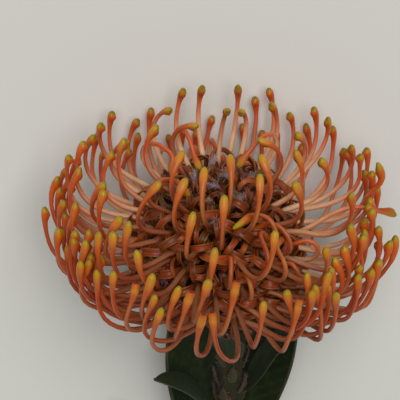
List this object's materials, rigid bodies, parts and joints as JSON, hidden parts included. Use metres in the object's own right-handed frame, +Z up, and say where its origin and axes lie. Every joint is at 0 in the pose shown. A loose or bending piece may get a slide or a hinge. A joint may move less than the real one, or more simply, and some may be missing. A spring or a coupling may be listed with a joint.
{
  "type": "pincushion protea flower",
  "caption": "Cut pincushion protea head with arching orange styles round a domed centre, a leafy stem below, laid on its side.",
  "frame": {"origin": "on the floor, under the centre of the whole laid-down flower", "axes": "+Y along the stem towards the flower head, +Z up from the floor, X across the flower"},
  "size_m": [0.0977, 0.2015, 0.0837],
  "materials": {
    "floret": "waxy, softly shiny flower tissue",
    "receptacle": "matte, woody",
    "bract": "matte, dry and downy",
    "leaf": "leathery, faint sheen",
    "stem": "matte, downy green wood"
  },
  "bodies": {
    "root": {"florets_01": "floret", "florets_02": "floret", "florets_03": "floret", "florets_04": "floret", "florets_05": "floret", "florets_06": "floret", "florets_07": "floret", "florets_08": "floret", "florets_09": "floret", "florets_10": "floret", "florets_11": "floret", "florets_12": "floret", "florets_13": "floret", "florets_14": "floret", "florets_15": "floret", "florets_16": "floret", "florets_17": "floret", "florets_18": "floret", "florets_19": "floret", "florets_20": "floret", "florets_21": "floret", "florets_22": "floret", "florets_23": "floret", "florets_24": "floret", "florets_25": "floret", "florets_26": "floret", "florets_27": "floret", "florets_28": "floret", "florets_29": "floret", "florets_30": "floret", "florets_31": "floret", "florets_32": "floret", "florets_33": "floret", "florets_34": "floret", "florets_35": "floret", "florets_36": "floret", "florets_37": "floret", "florets_38": "floret", "florets_39": "floret", "florets_40": "floret", "florets_41": "floret", "florets_42": "floret", "florets_43": "floret", "florets_44": "floret", "florets_45": "floret", "florets_46": "floret", "receptacle": "receptacle", "bracts_upper": "bract", "bracts_lower": "bract", "stem": "stem", "leaf_1": "leaf", "leaf_2": "leaf", "leaf_3": "leaf", "leaf_4": "leaf", "leaf_5": "leaf", "leaf_6": "leaf", "leaf_7": "leaf", "leaf_8": "leaf", "leaf_9": "leaf"}
  },
  "joints": []
}
